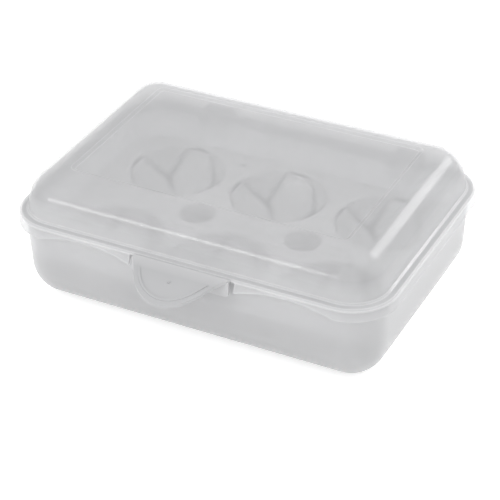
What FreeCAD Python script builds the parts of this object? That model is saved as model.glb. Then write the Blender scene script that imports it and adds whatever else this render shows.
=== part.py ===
import FreeCAD, Part
import math
import os

# Egg storage box in clear moulded plastic: a shallow tub, a domed lid on a rear snap hinge,
# a front latch flap with a thumb lip, and a loose tray with two rows of egg cups.
# Millimetres. +X runs along the long side, +Y from the latch to the rear hinge, +Z up.
# The origin is the centre of the base.

# Overall form
box_length = 200.0
box_width = 140.0
box_height = 68.5

# How far a cutter runs past the faces that it cuts, and how close two heights are to count as one
overshoot = 1.0
same_height = 0.01

# Tub
tub_wall = 1.5
tub_draft = 0.05
tub_bottom_round = 17.8
tub_inset = 3.7
tub_height = 45.7
rim_lip_out = 1.4
rim_lip_thick = 1.6

# Lid
lid_wall = 1.4
lid_seat_gap = 0.3
flange_corner = 23.5
flange_flare = 0.6
flange_edge_slope = 0.9
skirt_height = 6.4
ledge_width = 5.0
dome_draft = 0.16
dome_round_share = 0.848
dome_foot_slope = 0.8
panel_inset_x = 26.0
panel_inset_y = 24.0
panel_corner = 4.0
panel_sink = 1.0
panel_lean = 2.0

# Arches in the front edge of the skirt, one each side of the latch, and the flared wings between
arch_half_span = 25.0
arch_rise = 4.0
wing_height = 4.4
wing_flare = 1.3

# Latch flap
latch_half_width = 25.5
latch_slot = 2.2
latch_gap = 0.35
latch_thick = 1.4
snap_plate_height = 8.8
snap_plate_corner = 2.0
snap_bead_out = 0.6
snap_bead_height = 1.6
snap_bead_sink = 0.2
lip_reach = 23.6
lip_tip_radius = 20.5
lip_fall = 7.1
lip_crown = 2.2
lip_bead_inset = 2.2
lip_bead_width = 1.0
lip_bead_height = 0.45

# Gate marks, the small pips that moulding leaves on the latch and on the tray's deck
gate_mark_radius = 0.9
gate_mark_height = 0.4
tray_mark_behind = 18.9

# Catch on the tub, behind the snap plate
catch_half_width = 18.0
catch_height = 4.8
catch_clearance = 0.4

# Rear snap hinge
hinge_spread = 55.0
hinge_out = 4.5
hinge_drop = 3.9
hinge_pin_radius = 2.0
hinge_running_gap = 0.08
knuckle_wall = 1.5
knuckle_half_width = 4.5
knuckle_mouth = 3.0
ear_thick = 2.2
ear_radius = 3.4
ear_side_gap = 0.5
ear_root_height = 9.0

# Egg tray
tray_wall = 1.2
tray_deck_height = 29.0
tray_side_gap = 0.5
tray_seat_gap = 0.2
tray_edge_slope = 1.8
cup_columns = 3
cup_rows = 2
cup_margin_x = 11.5
cup_margin_y = 3.0
cup_bridge_x = 9.4
cup_bridge_y = 17.4
cup_depth_share = 0.806
cup_vault_inset = 0.4
cup_rim_slope = 2.0
leg_radius = 9.5

# Heights and places that follow from the sizes above
tub_corner = tub_bottom_round * math.hypot(1, tub_draft) + tub_draft * (tub_height - tub_bottom_round)
tub_half_x = box_length / 2 - tub_inset
tub_half_y = box_width / 2 - tub_inset
ledge_low = tub_height + lid_seat_gap
ledge_top = ledge_low + lid_wall
skirt_low = ledge_top - skirt_height
dome_half_x = box_length / 2 - ledge_width
dome_half_y = box_width / 2 - ledge_width
dome_top_round = dome_round_share * (box_height - ledge_top)
dome_round_height = box_height - dome_top_round
dome_corner = dome_top_round * math.hypot(1, dome_draft) + dome_draft * (dome_round_height - ledge_top)
flange_front = -box_width / 2 + flange_flare
hinge_y = box_width / 2 + hinge_out
hinge_z = ledge_top - hinge_drop
snap_face = flange_front - latch_gap - latch_gap
arch_centre = latch_half_width + latch_slot + arch_half_span
cup_pitch_x = (box_length - 2 * cup_margin_x) / cup_columns
cup_pitch_y = (box_width - 2 * cup_margin_y) / cup_rows
cup_radius = min(cup_pitch_x - cup_bridge_x, cup_pitch_y - cup_bridge_y) / 2
cup_vault_depth = cup_depth_share * cup_radius
tub_inner_round = tub_bottom_round - tub_wall
tray_skirt_shift = tub_inner_round - tray_side_gap + tray_seat_gap
tray_skirt_low = tub_bottom_round - math.sqrt(tub_inner_round ** 2 - tray_skirt_shift ** 2)


# Half the diagonal of a unit square, for points on a circle at 45 degrees
diagonal = math.sqrt(0.5)


def ridge_block(low_half, high_half, low, high, half_length, turn):
    """A block along X with leaning sides, from low to high, turned about Z."""
    corners = ((-low_half, low), (low_half, low), (high_half, high), (-high_half, high))
    block = side_profile(corners, -half_length, half_length)
    block.rotate(FreeCAD.Vector(0, 0, 0), FreeCAD.Vector(0, 0, 1), turn)
    return block


def tapered_block(half_x, half_y, radius, low, high, flare):
    """A rectangle with round corners at height low, whose sides lean out by flare up to height high."""
    middle_x = half_x - radius
    middle_y = half_y - radius
    solids = [ridge_block(half_y, half_y + flare, low, high, middle_x, 0),
              ridge_block(half_x, half_x + flare, low, high, middle_y, 90)]
    for x in (-middle_x, middle_x):
        for y in (-middle_y, middle_y):
            place = FreeCAD.Vector(x, y, low)
            if flare == 0.0:
                solids.append(Part.makeCylinder(radius, high - low, place))
            else:
                solids.append(Part.makeCone(radius, radius + flare, high - low, place))
    return solids[0].fuse(solids[1:]).removeSplitter()


def edges_at_height(solid, z):
    """The edges that lie flat at height z."""
    found = []
    for edge in solid.Edges:
        box = edge.BoundBox
        if max(abs(box.ZMin - z), abs(box.ZMax - z)) < same_height:
            found.append(edge)
    return found


def box_between(low, high):
    """A plain block from its lowest to its highest corner."""
    size = [high[k] - low[k] for k in range(3)]
    return Part.makeBox(size[0], size[1], size[2], FreeCAD.Vector(*low))


def side_profile(points, x_low, x_high):
    """A prism along X from its outline in Y and Z."""
    corners = [FreeCAD.Vector(x_low, y, z) for y, z in points]
    face = Part.Face(Part.makePolygon(corners + corners[:1]))
    return face.extrude(FreeCAD.Vector(x_high - x_low, 0, 0))


def round_profile(radius, centre, end, lean):
    """The points of a rounded side: its foot, its arc's middle and end, and the end of its leaning wall."""
    side = 1 if end > centre else -1
    tilt = math.atan(lean)
    bend = (math.pi / 2 + tilt) / 2
    foot = (0.0, centre - side * radius)
    middle = (radius * math.cos(bend), centre - side * radius * math.sin(bend))
    touch = (radius * math.cos(tilt), centre - side * radius * math.sin(tilt))
    last = (touch[0] + lean * abs(end - touch[1]), end)
    return foot, middle, touch, last


def round_ridge(half, length, points, turn):
    """A bar with both lower or upper edges rounded, over a length along X, turned about Z."""
    right = [FreeCAD.Vector(-length, half + out, z) for out, z in points]
    left = [FreeCAD.Vector(-length, -half - out, z) for out, z in points]
    wire = Part.Wire([Part.LineSegment(left[0], right[0]).toShape(),
                      Part.Arc(right[0], right[1], right[2]).toShape(),
                      Part.LineSegment(right[2], right[3]).toShape(),
                      Part.LineSegment(right[3], left[3]).toShape(),
                      Part.LineSegment(left[3], left[2]).toShape(),
                      Part.Arc(left[2], left[1], left[0]).toShape()])
    bar = Part.Face(wire).extrude(FreeCAD.Vector(2 * length, 0, 0))
    bar.rotate(FreeCAD.Vector(0, 0, 0), FreeCAD.Vector(0, 0, 1), turn)
    return bar


def round_corner(x, y, points, start):
    """A quarter turn of the same rounded side about a corner's upright axis."""
    foot, middle, touch, last = [FreeCAD.Vector(out, 0, z) for out, z in points]
    axis_end = FreeCAD.Vector(0, 0, last.z)
    wire = Part.Wire([Part.Arc(foot, middle, touch).toShape(),
                      Part.LineSegment(touch, last).toShape(),
                      Part.LineSegment(last, axis_end).toShape(),
                      Part.LineSegment(axis_end, foot).toShape()])
    corner = Part.Face(wire).revolve(FreeCAD.Vector(0, 0, 0), FreeCAD.Vector(0, 0, 1), 90)
    corner.rotate(FreeCAD.Vector(0, 0, 0), FreeCAD.Vector(0, 0, 1), start)
    corner.translate(FreeCAD.Vector(x, y, 0))
    return corner


def round_ended_block(half_x, half_y, radius, centre, end, lean):
    """A block with one end fully rounded, whose walls lean out to the other end.

    half_x and half_y reach the upright axes of its corners, and centre is the height of the balls there.
    """
    points = round_profile(radius, centre, end, lean)
    solids = [round_ridge(half_y, half_x, points, 0), round_ridge(half_x, half_y, points, 90),
              round_corner(half_x, half_y, points, 0), round_corner(-half_x, half_y, points, 90),
              round_corner(-half_x, -half_y, points, 180), round_corner(half_x, -half_y, points, 270)]
    return solids[0].fuse(solids[1:]).removeSplitter()


def tub_form(inset, end):
    """The tub's form, moved inwards by inset, from its rounded floor up to end."""
    return round_ended_block(tub_half_x - tub_corner, tub_half_y - tub_corner, tub_bottom_round - inset,
                             tub_bottom_round, end, tub_draft)


def tub_rim_lip():
    """The outward lip that stiffens the tub's mouth and carries the lid."""
    out_x = tub_half_x + rim_lip_out
    out_y = tub_half_y + rim_lip_out
    radius = tub_corner + rim_lip_out
    return tapered_block(out_x, out_y, radius, tub_height - rim_lip_thick, tub_height, 0.0)


def catch_ridge():
    """The ridge on the front wall that the latch's bead hooks under."""
    low = ledge_top - snap_plate_height + snap_bead_height + catch_clearance
    nose = snap_face + snap_bead_out + catch_clearance
    inside = -tub_half_y + tub_wall / 2
    points = ((inside, low), (nose, low), (nose, low + catch_height / 3), (inside, low + catch_height))
    return side_profile(points, -catch_half_width, catch_half_width)


def hinge_ears():
    """Two pairs of ears at the rear, each pair with the pin moulded between them."""
    root_top = tub_height - rim_lip_thick - ear_thick
    root_low = root_top - ear_root_height
    inside = tub_half_y - tub_wall
    solids = []
    for side in (-1, 1):
        centre = side * hinge_spread
        for hand in (-1, 1):
            inner = knuckle_half_width + ear_side_gap
            x_low = centre + (inner if hand > 0 else -inner - ear_thick)
            web = side_profile(((inside, root_low), (hinge_y, hinge_z - ear_radius),
                                (hinge_y - ear_radius * diagonal, hinge_z + ear_radius * diagonal),
                                (inside, root_top)), x_low, x_low + ear_thick)
            disc = Part.makeCylinder(ear_radius, ear_thick, FreeCAD.Vector(x_low, hinge_y, hinge_z),
                                     FreeCAD.Vector(1, 0, 0))
            solids.append(web.fuse(disc))
        pin_half = knuckle_half_width + ear_side_gap + ear_thick / 2
        solids.append(Part.makeCylinder(hinge_pin_radius, 2 * pin_half,
                                        FreeCAD.Vector(centre - pin_half, hinge_y, hinge_z),
                                        FreeCAD.Vector(1, 0, 0)))
    return solids


def make_tub():
    """The tub: a drafted shell with a deeply rounded bottom, a rim lip, a catch and hinge ears."""
    body = tub_form(0.0, tub_height).fuse([tub_rim_lip(), catch_ridge()] + hinge_ears())
    body = body.cut(tub_form(tub_wall, tub_height + overshoot))
    return body.removeSplitter()


def dome(inset):
    """The lid's domed form above the ledge, moved inwards by inset."""
    return round_ended_block(dome_half_x - dome_corner, dome_half_y - dome_corner, dome_top_round - inset,
                             dome_round_height, ledge_top - inset, dome_draft)


def dome_foot():
    """The sloped corner where the dome's wall meets the ledge."""
    rise = dome_foot_slope
    flare = -rise - dome_draft * rise
    high = ledge_top + rise
    return tapered_block(dome_half_x + rise, dome_half_y + rise, dome_corner + rise, ledge_top, high, flare)


def panel_recess(depth):
    """The shallow field sunk into the lid's flat top, with sloped sides, moved out of the lid by depth."""
    narrower = panel_lean * panel_sink - depth * (math.hypot(1, panel_lean) - panel_lean)
    half_x = box_length / 2 - panel_inset_x - narrower
    half_y = box_width / 2 - panel_inset_y - narrower
    low = box_height - panel_sink - depth
    rise = panel_sink + depth + overshoot
    return tapered_block(half_x, half_y, panel_corner - narrower, low, low + rise, panel_lean * rise)


def flange():
    """The lid's flange before it is hollowed: the ledge and the skirt round the tub's rim."""
    half_x = box_length / 2
    half_y = box_width / 2
    block = tapered_block(half_x, half_y, flange_corner, skirt_low, ledge_top, -flange_flare)
    return block.makeChamfer(flange_edge_slope, edges_at_height(block, ledge_top))


def flange_hollow():
    """The room inside the skirt, below the ledge."""
    half_x = box_length / 2 - lid_wall
    half_y = box_width / 2 - lid_wall
    radius = flange_corner - lid_wall
    return tapered_block(half_x, half_y, radius, skirt_low - overshoot, ledge_low, 0.0)


def skirt_arches():
    """Cutters that arch the skirt's front edge, one each side of the latch."""
    cutters = []
    front = -box_width / 2 - wing_flare - overshoot
    depth = FreeCAD.Vector(0, -dome_half_y - front, 0)
    under = FreeCAD.Vector(0, 0, -overshoot)
    for side in (-1, 1):
        left = FreeCAD.Vector(side * arch_centre - arch_half_span, front, skirt_low)
        right = FreeCAD.Vector(side * arch_centre + arch_half_span, front, skirt_low)
        crown = FreeCAD.Vector(side * arch_centre, front, skirt_low + arch_rise)
        wire = Part.Wire([Part.Arc(left, crown, right).toShape(),
                          Part.LineSegment(right, right + under).toShape(),
                          Part.LineSegment(right + under, left + under).toShape(),
                          Part.LineSegment(left + under, left).toShape()])
        cutters.append(Part.Face(wire).extrude(depth))
    return cutters


def wing_wedge(shift):
    """The extra lean of the skirt beside the latch, as a wedge along X, moved inwards by shift."""
    top = skirt_low + wing_height
    low = skirt_low - overshoot
    face = -box_width / 2 + flange_flare * wing_height / skirt_height + shift
    lean = wing_flare * (wing_height + overshoot) / wing_height
    return side_profile(((face, low), (face - lean, low), (face, top)), -arch_centre, arch_centre)


def latch_window():
    """The gap in the front skirt that the latch flap fills, with a slot at each end."""
    half = latch_half_width + latch_slot
    front = -box_width / 2 - wing_flare - overshoot
    back = -box_width / 2 + lid_wall + overshoot
    skirt_gap = box_between((-half, front, skirt_low - overshoot), (half, back, ledge_low))
    edge_gap = box_between((-half, front, ledge_low - overshoot),
                           (half, flange_front, ledge_top + overshoot))
    return [skirt_gap, edge_gap]


def hinge_notches():
    """Room in the rear skirt for the tub's ears."""
    half = knuckle_half_width + ear_side_gap + ear_thick + ear_side_gap
    low_y = box_width / 2 - lid_wall - overshoot
    notches = []
    for side in (-1, 1):
        centre = side * hinge_spread
        notches.append(box_between((centre - half, low_y, skirt_low - overshoot),
                                   (centre + half, box_width / 2 + overshoot, ledge_low)))
    return notches


def hinge_knuckles():
    """The lid's open hooks that snap over the tub's pins, with their arms."""
    bore = hinge_pin_radius + hinge_running_gap
    outer = bore + knuckle_wall
    knuckles = []
    for side in (-1, 1):
        x_low = side * hinge_spread - knuckle_half_width
        width = 2 * knuckle_half_width
        along = FreeCAD.Vector(1, 0, 0)
        base = FreeCAD.Vector(x_low, hinge_y, hinge_z)
        arm = box_between((x_low, box_width / 2 - flange_flare - lid_wall, hinge_z + outer - lid_wall),
                          (x_low + width, hinge_y, hinge_z + outer))
        hook = Part.makeCylinder(outer, width, base, along).fuse(arm)
        hook = hook.cut(Part.makeCylinder(bore, width, base, along))
        mouth = box_between((x_low, hinge_y - knuckle_mouth / 2, hinge_z - outer - overshoot),
                            (x_low + width, hinge_y + knuckle_mouth / 2, hinge_z))
        knuckles.append(hook.cut(mouth))
    return knuckles


def make_lid():
    """The lid: a dome on a ledge, with a skirt that is arched, windowed and notched."""
    outside = flange().fuse([dome(0.0), dome_foot(), wing_wedge(0.0)]).cut(panel_recess(0.0))
    below = tapered_block(box_length, box_width, flange_corner, skirt_low - box_height, skirt_low, 0.0)
    room = dome(lid_wall).cut(panel_recess(lid_wall))
    shell = outside.cut([flange_hollow(), room, wing_wedge(lid_wall), below])
    shell = shell.cut(skirt_arches() + latch_window() + hinge_notches())
    return shell.fuse(hinge_knuckles()).removeSplitter()


def lip_outline(inset, z):
    """The thumb lip seen from above: straight flanks that meet a round tip, moved inwards by inset."""
    root_y = flange_front - latch_gap
    half = latch_half_width - inset
    radius = lip_tip_radius - inset
    centre_reach = lip_reach - lip_tip_radius
    centre_y = root_y - centre_reach
    swing = math.acos(radius / math.hypot(half, centre_reach)) - math.atan2(centre_reach, half)
    right = FreeCAD.Vector(radius * math.cos(swing), centre_y - radius * math.sin(swing), z)
    left = FreeCAD.Vector(-right.x, right.y, z)
    tip = FreeCAD.Vector(0, centre_y - radius, z)
    root_right = FreeCAD.Vector(half, root_y, z)
    root_left = FreeCAD.Vector(-half, root_y, z)
    return Part.Wire([Part.LineSegment(root_left, left).toShape(), Part.Arc(left, tip, right).toShape(),
                      Part.LineSegment(right, root_right).toShape(),
                      Part.LineSegment(root_right, root_left).toShape()])


def lip_prism(inset):
    """A tall prism over the lip's outline, used to trim the curved sheet."""
    low = ledge_top - lip_fall - 2 * latch_thick
    high = ledge_top + 2 * latch_thick
    return Part.Face(lip_outline(inset, low)).extrude(FreeCAD.Vector(0, 0, high - low))


def lip_sheet(raise_by, thickness):
    """The lip's crowned sheet, falling from the hinge line to the tip."""
    root_y = flange_front - latch_gap
    tip_y = root_y - lip_reach - overshoot
    top = ledge_top + raise_by
    fall = lip_fall * (lip_reach + overshoot) / lip_reach
    start = FreeCAD.Vector(-latch_half_width, root_y, top)
    end = FreeCAD.Vector(-latch_half_width, tip_y, top - fall)
    middle = (start + end) / 2 + FreeCAD.Vector(0, 0, lip_crown)
    down = FreeCAD.Vector(0, 0, -thickness)
    wire = Part.Wire([Part.Arc(start, middle, end).toShape(),
                      Part.LineSegment(end, end + down).toShape(),
                      Part.Arc(end + down, middle + down, start + down).toShape(),
                      Part.LineSegment(start + down, start).toShape()])
    return Part.Face(wire).extrude(FreeCAD.Vector(2 * latch_half_width, 0, 0))


def lip_height(reach):
    """The lip's top surface at a distance from the hinge line, near enough for small marks."""
    share = reach / lip_reach
    return ledge_top - lip_fall * share + 4 * lip_crown * share * (1 - share)


def snap_plate():
    """The upright plate behind the lip, with the bead that hooks under the catch."""
    low = ledge_top - snap_plate_height
    plate = box_between((-latch_half_width, snap_face - latch_thick, low),
                        (latch_half_width, snap_face, ledge_top - latch_thick / 2))
    corners = [edge for edge in edges_at_height(plate, low) if edge.BoundBox.YLength > latch_thick / 2]
    plate = plate.makeFillet(snap_plate_corner, corners)
    root = snap_face - snap_bead_sink
    profile = ((root, low + snap_bead_sink), (snap_face + snap_bead_out, low + snap_bead_height / 2),
               (root, low + snap_bead_height))
    return plate.fuse(side_profile(profile, -catch_half_width, catch_half_width))


def gate_mark(x, y, surface):
    """The small round pip that moulding leaves, standing on a surface."""
    sink = latch_thick / 2
    base = FreeCAD.Vector(x, y, surface - sink)
    return Part.makeCylinder(gate_mark_radius, gate_mark_height + sink, base)


def make_latch():
    """The latch flap: a crowned thumb lip with a bead near its edge, and the snap plate behind it."""
    lip = lip_sheet(0.0, latch_thick).common(lip_prism(0.0))
    ring = lip_prism(lip_bead_inset).cut(lip_prism(lip_bead_inset + lip_bead_width))
    root_y = flange_front - latch_gap
    near_root = box_between((-box_length, root_y - lip_reach / 3, 0.0),
                            (box_length, root_y + overshoot, box_height))
    bead = lip_sheet(lip_bead_height, latch_thick).common(ring.cut(near_root))
    mark_reach = lip_reach / 2
    mark = gate_mark(0.0, root_y - mark_reach, lip_height(mark_reach))
    return lip.fuse([bead, mark, snap_plate()]).removeSplitter()


def tray_block(inset, top):
    """The tray's outer form, which follows the tub's inner wall, moved inwards by inset."""
    low = tray_skirt_low
    fall = tub_wall + tray_side_gap + inset + tub_draft * (tub_height - low)
    flare = tub_draft * (top - low)
    block = tapered_block(tub_half_x - fall, tub_half_y - fall, tub_corner - fall, low, top, flare)
    return block.makeChamfer(tray_edge_slope - inset / 2, edges_at_height(block, top))


def cup_form(grow, centre_x, centre_y):
    """One egg cup: a round bowl cut by two crossing vaults, larger by grow on every side."""
    vault_half = cup_radius - cup_vault_inset
    vault_radius = (vault_half ** 2 + cup_vault_depth ** 2) / (2 * cup_vault_depth)
    axis_height = tray_deck_height + vault_radius - cup_vault_depth
    centre = FreeCAD.Vector(centre_x, centre_y, tray_deck_height)
    form = Part.makeSphere(cup_radius + grow, centre, FreeCAD.Vector(0, 0, 1), -90, 0, 360)
    reach = 2 * cup_radius
    for along in (FreeCAD.Vector(1, 0, 0), FreeCAD.Vector(0, 1, 0)):
        start = FreeCAD.Vector(centre_x, centre_y, axis_height) - along * reach
        form = form.common(Part.makeCylinder(vault_radius + grow, 2 * reach, start, along))
    return form


def cup_rim_cutter(centre_x, centre_y):
    """The ring that breaks the edge between the deck and a cup in two slopes."""
    top = tray_deck_height
    steep = cup_rim_slope / 3
    profile = ((cup_radius + cup_rim_slope, top), (cup_radius + steep, top - steep),
               (cup_radius, top - cup_rim_slope), (cup_radius - cup_rim_slope, top - cup_rim_slope),
               (cup_radius - cup_rim_slope, top + overshoot), (cup_radius + cup_rim_slope, top + overshoot))
    corners = [FreeCAD.Vector(radius, 0, z) for radius, z in profile]
    face = Part.Face(Part.makePolygon(corners + corners[:1]))
    ring = face.revolve(FreeCAD.Vector(0, 0, 0), FreeCAD.Vector(0, 0, 1), 360)
    ring.translate(FreeCAD.Vector(centre_x, centre_y, 0))
    return ring


def cup_centres():
    """The cups' places, in rows and columns about the middle of the tray."""
    columns = [(column - (cup_columns - 1) / 2) * cup_pitch_x for column in range(cup_columns)]
    rows = [(row - (cup_rows - 1) / 2) * cup_pitch_y for row in range(cup_rows)]
    return [(x, y) for y in rows for x in columns]


def leg_form(grow, low):
    """The hollow legs that stand on the tub's floor, in the spaces between four cups."""
    legs = []
    for column in range(cup_columns - 1):
        centre = (column - (cup_columns - 2) / 2) * cup_pitch_x
        foot = FreeCAD.Vector(centre, 0, low)
        legs.append(Part.makeCylinder(leg_radius + grow, tray_deck_height - low, foot))
    return legs


def make_egg_tray():
    """The tray: a deck with a turned-down edge, hollow legs and cups."""
    deck = tray_block(0.0, tray_deck_height).cut(tray_block(tray_wall, tray_deck_height - tray_wall))
    walls = [cup_form(tray_wall, x, y) for x, y in cup_centres()] + leg_form(tray_wall, tub_wall)
    hollows = [cup_form(0.0, x, y) for x, y in cup_centres()] + leg_form(0.0, tub_wall + tray_wall)
    hollows += [cup_rim_cutter(x, y) for x, y in cup_centres()]
    mark = gate_mark(-cup_pitch_x / 2, cup_pitch_y / 2 + tray_mark_behind, tray_deck_height)
    above = tapered_block(box_length, box_width, tub_corner, tray_deck_height, box_height, 0.0)
    return deck.fuse(walls).cut(hollows + [above]).fuse(mark).removeSplitter()


pieces = {
    "tub": make_tub,
    "lid": make_lid,
    "latch": make_latch,
    "egg_tray": make_egg_tray,
}

os.makedirs("parts", exist_ok=True)
for name, make in pieces.items():
    shape = make()
    print(name, len(shape.Solids), "solid, valid", shape.isValid(), round(shape.Volume), shape.BoundBox)
    shape.exportStep("parts/" + name + ".step")
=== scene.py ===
import math

import bpy
from mathutils import Matrix, Vector

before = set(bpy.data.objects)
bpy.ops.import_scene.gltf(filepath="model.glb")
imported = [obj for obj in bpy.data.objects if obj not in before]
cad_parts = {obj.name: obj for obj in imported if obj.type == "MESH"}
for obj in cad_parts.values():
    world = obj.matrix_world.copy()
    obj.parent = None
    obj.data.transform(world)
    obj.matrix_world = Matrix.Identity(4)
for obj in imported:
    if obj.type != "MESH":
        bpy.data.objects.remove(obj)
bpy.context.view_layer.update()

# Camera, worked out from the photograph's outlines of the box. Angles are in degrees, lens and
# sensor in millimetres, and the distance and the near limit in metres.
CAMERA_AZIMUTH = 27.35
CAMERA_ELEVATION = 34.29
CAMERA_DISTANCE = 0.918
CAMERA_ROLL = 0.96
CAMERA_LENS = 130.34
CAMERA_SENSOR = 36.0
CAMERA_SHIFT_Y = 0.0496
CAMERA_NEAR = 0.01

# Surroundings: how strongly the world lights the object, and what the floor adds where it is seen
WHITE = (1.0, 1.0, 1.0)
WORLD_LIGHT = 0.9
FLOOR_SIZE = 4.0
FLOOR_TONE = 0.9
FLOOR_ROUGHNESS = 0.9
FLOOR_GLOW = 0.5

# Soft panel lights: name, place, aim, width, height and power. The two strips draw the bright
# lines along the lid's front and right rounds.
LIGHTS = (
    ("key", (0.4, 0.2, 1.15), (0.0, 0.0, 0.0), 0.8, 0.8, 2.2),
    ("front_fill", (0.0, -1.9, 0.5), (0.0, 0.0, 0.03), 2.0, 1.0, 2.8),
    ("front_strip", (-0.43, -0.905, 0.37), (0.0, -0.06, 0.06), 0.34, 0.14, 1.9),
    ("rear_strip", (0.5, 0.78, 0.525), (0.087, 0.0, 0.065), 0.3, 0.25, 2.1),
    ("side_fill", (1.9, -0.5, 0.2), (0.0, 0.0, 0.02), 1.0, 0.35, 1.5),
)

# Moulded plastic. The spreads say how far tone and roughness wander either way, as a share.
# Red, green and blue light scatter equally far inside it.
REFRACTION = 1.49
TONE_SPREAD = 0.04
ROUGHNESS = 0.3
ROUGHNESS_SPREAD = 0.15
SHINE = 0.1
COAT = 0.5
COAT_ROUGHNESS = 0.1
SCATTER_DEPTH = 0.005
SCATTER_COLOURS = (1.0, 1.0, 1.0)
GRAIN = 0.1
GRAIN_DEPTH = 0.0002

# Noise textures over a piece's own coordinates: scale and detail
TONE_NOISE = (30.0, 4.0)
GLOSS_NOISE = (40.0, 3.0)
GRAIN_NOISE = (900.0, 2.0)

# Painted highlights along sharp edges and creases: the cosine between the true and the rounded
# normal, where the mask starts and is full
EDGE_START = 0.9995
EDGE_FULL = 0.98
EDGE_SAMPLES = 8

# Painted shade in the tray's creases: how open a spot is, where the mask starts and is full. The
# legs stand between the cups' rows, within ROW_GAP of the middle line, and get none.
CREASE_START = 1.0
CREASE_FULL = 0.92
CREASE_SAMPLES = 12
ROW_GAP = 0.0095

# Depth (Y) of the line that the latch hangs from, where the latch's painted light is full
HINGE_LINE = -0.0695

# The lid is milkiest on its ledge, which lies on the tub's rim: height and milkiness, going up
LID_MILK = ((0.0455, 0.45), (0.0465, 0.72), (0.049, 0.72), (0.058, 0.42))


def node_material(name):
    """A new node-based material, its node tree and its Principled shader."""
    material = bpy.data.materials.new(name)
    material.use_nodes = True
    tree = material.node_tree
    return material, tree, tree.nodes["Principled BSDF"]


def own_coordinates(tree):
    """The piece's own coordinates, which move with it."""
    return tree.nodes.new("ShaderNodeTexCoord").outputs["Object"]


def own_coordinate(tree, axis):
    """One of the piece's own coordinates: X, Y or Z."""
    parts = tree.nodes.new("ShaderNodeSeparateXYZ")
    tree.links.new(own_coordinates(tree), parts.inputs["Vector"])
    return parts.outputs[axis]


def map_range(tree, value, start, end, low=0.0, high=1.0):
    """A node that maps a value between start and end to one between low and high."""
    node = tree.nodes.new("ShaderNodeMapRange")
    node.inputs["From Min"].default_value = start
    node.inputs["From Max"].default_value = end
    node.inputs["To Min"].default_value = low
    node.inputs["To Max"].default_value = high
    tree.links.new(value, node.inputs["Value"])
    return node


def noise(tree, scale, detail):
    """A noise that is fixed to the piece."""
    texture = tree.nodes.new("ShaderNodeTexNoise")
    texture.inputs["Scale"].default_value = scale
    texture.inputs["Detail"].default_value = detail
    tree.links.new(own_coordinates(tree), texture.inputs["Vector"])
    return texture.outputs["Fac"]


def painted_edge_light_mask(tree, reach):
    """A factor that is 0 on smooth surfaces and 1 along sharp edges and creases, where painted
    highlights go.
    """
    geometry = tree.nodes.new("ShaderNodeNewGeometry")
    rounded = tree.nodes.new("ShaderNodeBevel")
    rounded.samples = EDGE_SAMPLES
    rounded.inputs["Radius"].default_value = reach
    match = tree.nodes.new("ShaderNodeVectorMath")
    match.operation = "DOT_PRODUCT"
    tree.links.new(geometry.outputs["Normal"], match.inputs[0])
    tree.links.new(rounded.outputs["Normal"], match.inputs[1])
    return map_range(tree, match.outputs["Value"], EDGE_START, EDGE_FULL).outputs["Result"]


def painted_crease_shade_mask(tree, reach):
    """A factor that is 1 in the cups' inward creases, where painted shade goes, and 0 elsewhere and
    between their rows.
    """
    openness = tree.nodes.new("ShaderNodeAmbientOcclusion")
    openness.samples = CREASE_SAMPLES
    openness.only_local = True
    openness.inputs["Distance"].default_value = reach
    off_middle = tree.nodes.new("ShaderNodeMath")
    off_middle.operation = "ABSOLUTE"
    in_rows = tree.nodes.new("ShaderNodeMath")
    in_rows.operation = "GREATER_THAN"
    in_rows.inputs[1].default_value = ROW_GAP
    painted_lighting_mask = map_range(tree, openness.outputs["AO"], CREASE_START, CREASE_FULL)
    tree.links.new(own_coordinate(tree, "Y"), off_middle.inputs[0])
    tree.links.new(off_middle.outputs["Value"], in_rows.inputs[0])
    tree.links.new(in_rows.outputs["Value"], painted_lighting_mask.inputs["To Max"])
    return painted_lighting_mask.outputs["Result"]


def painted_hinge_light_mask(tree, reach):
    """A factor that rises to 1 at the latch's hinge line, for painted light that lifts the shade
    under the lid's flange.
    """
    depth = own_coordinate(tree, "Y")
    return map_range(tree, depth, HINGE_LINE - reach, HINGE_LINE).outputs["Result"]


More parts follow.
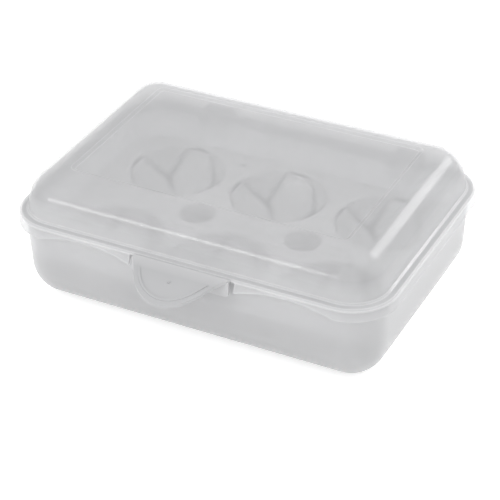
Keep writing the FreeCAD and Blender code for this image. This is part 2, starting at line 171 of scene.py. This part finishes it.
def plastic(name, colour, painted_light_and_shade, painted_lighting_mask, reach, milkiness, scatter):
    """Frosted see-through moulded plastic with a fine grain. Where the mask is 1, the base colour
    turns to a second colour that paints light or shade onto the surface.
    """
    material, tree, shader = node_material(name)
    shader.inputs["IOR"].default_value = REFRACTION
    shader.inputs["Alpha"].default_value = milkiness
    shader.inputs["Subsurface Weight"].default_value = scatter
    shader.inputs["Subsurface Radius"].default_value = SCATTER_COLOURS
    shader.inputs["Subsurface Scale"].default_value = SCATTER_DEPTH
    shader.inputs["Specular IOR Level"].default_value = SHINE
    shader.inputs["Coat Weight"].default_value = COAT
    shader.inputs["Coat Roughness"].default_value = COAT_ROUGHNESS
    tones = tree.nodes.new("ShaderNodeMix")
    tones.data_type = "RGBA"
    tones.inputs["A"].default_value = (*[(1 - TONE_SPREAD) * part for part in colour], 1.0)
    tones.inputs["B"].default_value = (*[(1 + TONE_SPREAD) * part for part in colour], 1.0)
    # Painted light and shade: the second colour is blended in where the mask is 1
    painted_lighting_mix = tree.nodes.new("ShaderNodeMix")
    painted_lighting_mix.data_type = "RGBA"
    painted_lighting_mix.inputs["B"].default_value = (*painted_light_and_shade, 1.0)
    tree.links.new(noise(tree, *TONE_NOISE), tones.inputs["Factor"])
    tree.links.new(painted_lighting_mask(tree, reach), painted_lighting_mix.inputs["Factor"])
    tree.links.new(tones.outputs["Result"], painted_lighting_mix.inputs["A"])
    tree.links.new(painted_lighting_mix.outputs["Result"], shader.inputs["Base Color"])
    gloss = map_range(tree, noise(tree, *GLOSS_NOISE), 0.0, 1.0,
                      ROUGHNESS * (1 - ROUGHNESS_SPREAD), ROUGHNESS * (1 + ROUGHNESS_SPREAD))
    tree.links.new(gloss.outputs["Result"], shader.inputs["Roughness"])
    bump = tree.nodes.new("ShaderNodeBump")
    bump.inputs["Strength"].default_value = GRAIN
    bump.inputs["Distance"].default_value = GRAIN_DEPTH
    tree.links.new(noise(tree, *GRAIN_NOISE), bump.inputs["Height"])
    tree.links.new(bump.outputs["Normal"], shader.inputs["Normal"])
    return material


def milk_by_height(material, levels):
    """Sets how milky a material is by height. The levels are pairs of height and milkiness."""
    tree = material.node_tree
    lowest, highest = levels[0][0], levels[-1][0]
    ramp = tree.nodes.new("ShaderNodeValToRGB")
    stops = ramp.color_ramp.elements
    # New stops start halfway and get their places below
    while len(stops) < len(levels):
        stops.new(0.5)
    for stop, (height, milkiness) in zip(stops, levels):
        stop.position = (height - lowest) / (highest - lowest)
        stop.color = (milkiness, milkiness, milkiness, 1.0)
    share = map_range(tree, own_coordinate(tree, "Z"), lowest, highest)
    tree.links.new(share.outputs["Result"], ramp.inputs["Fac"])
    tree.links.new(ramp.outputs["Color"], tree.nodes["Principled BSDF"].inputs["Alpha"])


def dress(node, material):
    """Gives a CAD node its material."""
    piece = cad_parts[node]
    piece.data.materials.clear()
    piece.data.materials.append(material)


def make_camera():
    """The camera at the photograph's viewing angle, with its slight roll."""
    azimuth = math.radians(CAMERA_AZIMUTH)
    elevation = math.radians(CAMERA_ELEVATION)
    roll = math.radians(CAMERA_ROLL)
    back = Vector((math.sin(azimuth) * math.cos(elevation),
                   -math.cos(azimuth) * math.cos(elevation),
                   math.sin(elevation)))
    right = Vector((math.cos(azimuth), math.sin(azimuth), 0.0))
    up = back.cross(right)
    tilted_right = right * math.cos(roll) - up * math.sin(roll)
    tilted_up = right * math.sin(roll) + up * math.cos(roll)
    data = bpy.data.cameras.new("camera")
    data.sensor_width = CAMERA_SENSOR
    data.lens = CAMERA_LENS
    data.shift_y = CAMERA_SHIFT_Y
    data.clip_start = CAMERA_NEAR
    camera = bpy.data.objects.new("camera", data)
    turn = Matrix((tilted_right, tilted_up, back)).transposed().to_4x4()
    camera.matrix_world = Matrix.Translation(back * CAMERA_DISTANCE) @ turn
    bpy.context.scene.collection.objects.link(camera)
    bpy.context.scene.camera = camera


def seen_white(tree):
    """The factor that is 1 for rays from the camera, from reflections and through clear matter."""
    path = tree.nodes.new("ShaderNodeLightPath")
    seen = path.outputs["Is Camera Ray"]
    for kind in ("Is Glossy Ray", "Is Transmission Ray"):
        either = tree.nodes.new("ShaderNodeMath")
        either.operation = "MAXIMUM"
        tree.links.new(seen, either.inputs[0])
        tree.links.new(path.outputs[kind], either.inputs[1])
        seen = either.outputs["Value"]
    return seen


def make_world():
    """A plain pale world: white where it is seen, softer where it lights the object."""
    world = bpy.data.worlds.new("world")
    world.use_nodes = True
    tree = world.node_tree
    soft = tree.nodes["Background"]
    soft.inputs["Color"].default_value = (*WHITE, 1.0)
    soft.inputs["Strength"].default_value = WORLD_LIGHT
    plain = tree.nodes.new("ShaderNodeBackground")
    plain.inputs["Color"].default_value = (*WHITE, 1.0)
    mix = tree.nodes.new("ShaderNodeMixShader")
    tree.links.new(seen_white(tree), mix.inputs["Fac"])
    tree.links.new(soft.outputs["Background"], mix.inputs[1])
    tree.links.new(plain.outputs["Background"], mix.inputs[2])
    tree.links.new(mix.outputs["Shader"], tree.nodes["World Output"].inputs["Surface"])
    bpy.context.scene.world = world


def make_floor():
    """A pale floor that glows where it is seen, so that it looks white but keeps the shadow."""
    bpy.ops.mesh.primitive_plane_add(size=FLOOR_SIZE, location=(0.0, 0.0, 0.0))
    floor = bpy.context.object
    floor.name = "floor"
    material, tree, shader = node_material("floor_paper")
    shader.inputs["Base Color"].default_value = (FLOOR_TONE, FLOOR_TONE, FLOOR_TONE, 1.0)
    shader.inputs["Roughness"].default_value = FLOOR_ROUGHNESS
    shader.inputs["Specular IOR Level"].default_value = 0.0
    glow = tree.nodes.new("ShaderNodeEmission")
    glow.inputs["Strength"].default_value = FLOOR_GLOW
    seen_glow = tree.nodes.new("ShaderNodeMixShader")
    both = tree.nodes.new("ShaderNodeAddShader")
    tree.links.new(seen_white(tree), seen_glow.inputs["Fac"])
    tree.links.new(glow.outputs["Emission"], seen_glow.inputs[2])
    tree.links.new(shader.outputs["BSDF"], both.inputs[0])
    tree.links.new(seen_glow.outputs["Shader"], both.inputs[1])
    tree.links.new(both.outputs["Shader"], tree.nodes["Material Output"].inputs["Surface"])
    floor.data.materials.append(material)


def soft_light(name, place, aim, width, height, power):
    """A soft panel light at place, facing aim."""
    data = bpy.data.lights.new(name, "AREA")
    data.shape = "RECTANGLE"
    data.size = width
    data.size_y = height
    data.energy = power
    light = bpy.data.objects.new(name, data)
    facing = Vector(aim) - Vector(place)
    turn = facing.to_track_quat("-Z", "Y").to_matrix().to_4x4()
    light.matrix_world = Matrix.Translation(Vector(place)) @ turn
    bpy.context.scene.collection.objects.link(light)


make_camera()
make_world()
make_floor()
for light in LIGHTS:
    soft_light(*light)

# Painted highlights: the lid is lighter along its sharp edges and creases, which also lifts the
# shade at the foot of its dome
lid_plastic = plastic(
    "lid_plastic", colour=(0.64, 0.642, 0.652), painted_light_and_shade=(0.77, 0.77, 0.78),
    painted_lighting_mask=painted_edge_light_mask, reach=0.0012, milkiness=0.4, scatter=0.0)
# Painted light: the latch grows lighter towards its hinge line, lifting the shade under the lid's
# flange
latch_plastic = plastic(
    "latch_plastic", colour=(0.51, 0.512, 0.522), painted_light_and_shade=(0.67, 0.67, 0.68),
    painted_lighting_mask=painted_hinge_light_mask, reach=0.008, milkiness=0.85, scatter=0.0)
# Painted highlights: the tub is lighter along its sharp edges
tub_plastic = plastic(
    "tub_plastic", colour=(0.585, 0.587, 0.597), painted_light_and_shade=(0.65, 0.65, 0.66),
    painted_lighting_mask=painted_edge_light_mask, reach=0.0008, milkiness=0.8, scatter=1.0)
# Painted shade: the tray turns near black in the cups' creases
tray_plastic = plastic(
    "tray_plastic", colour=(0.93, 0.93, 0.935), painted_light_and_shade=(0.06, 0.06, 0.065),
    painted_lighting_mask=painted_crease_shade_mask, reach=0.004, milkiness=0.95, scatter=0.5)
milk_by_height(lid_plastic, LID_MILK)
dress("lid", lid_plastic)
dress("latch", latch_plastic)
dress("tub", tub_plastic)
dress("egg_tray", tray_plastic)

bpy.context.scene.view_settings.view_transform = "Standard"
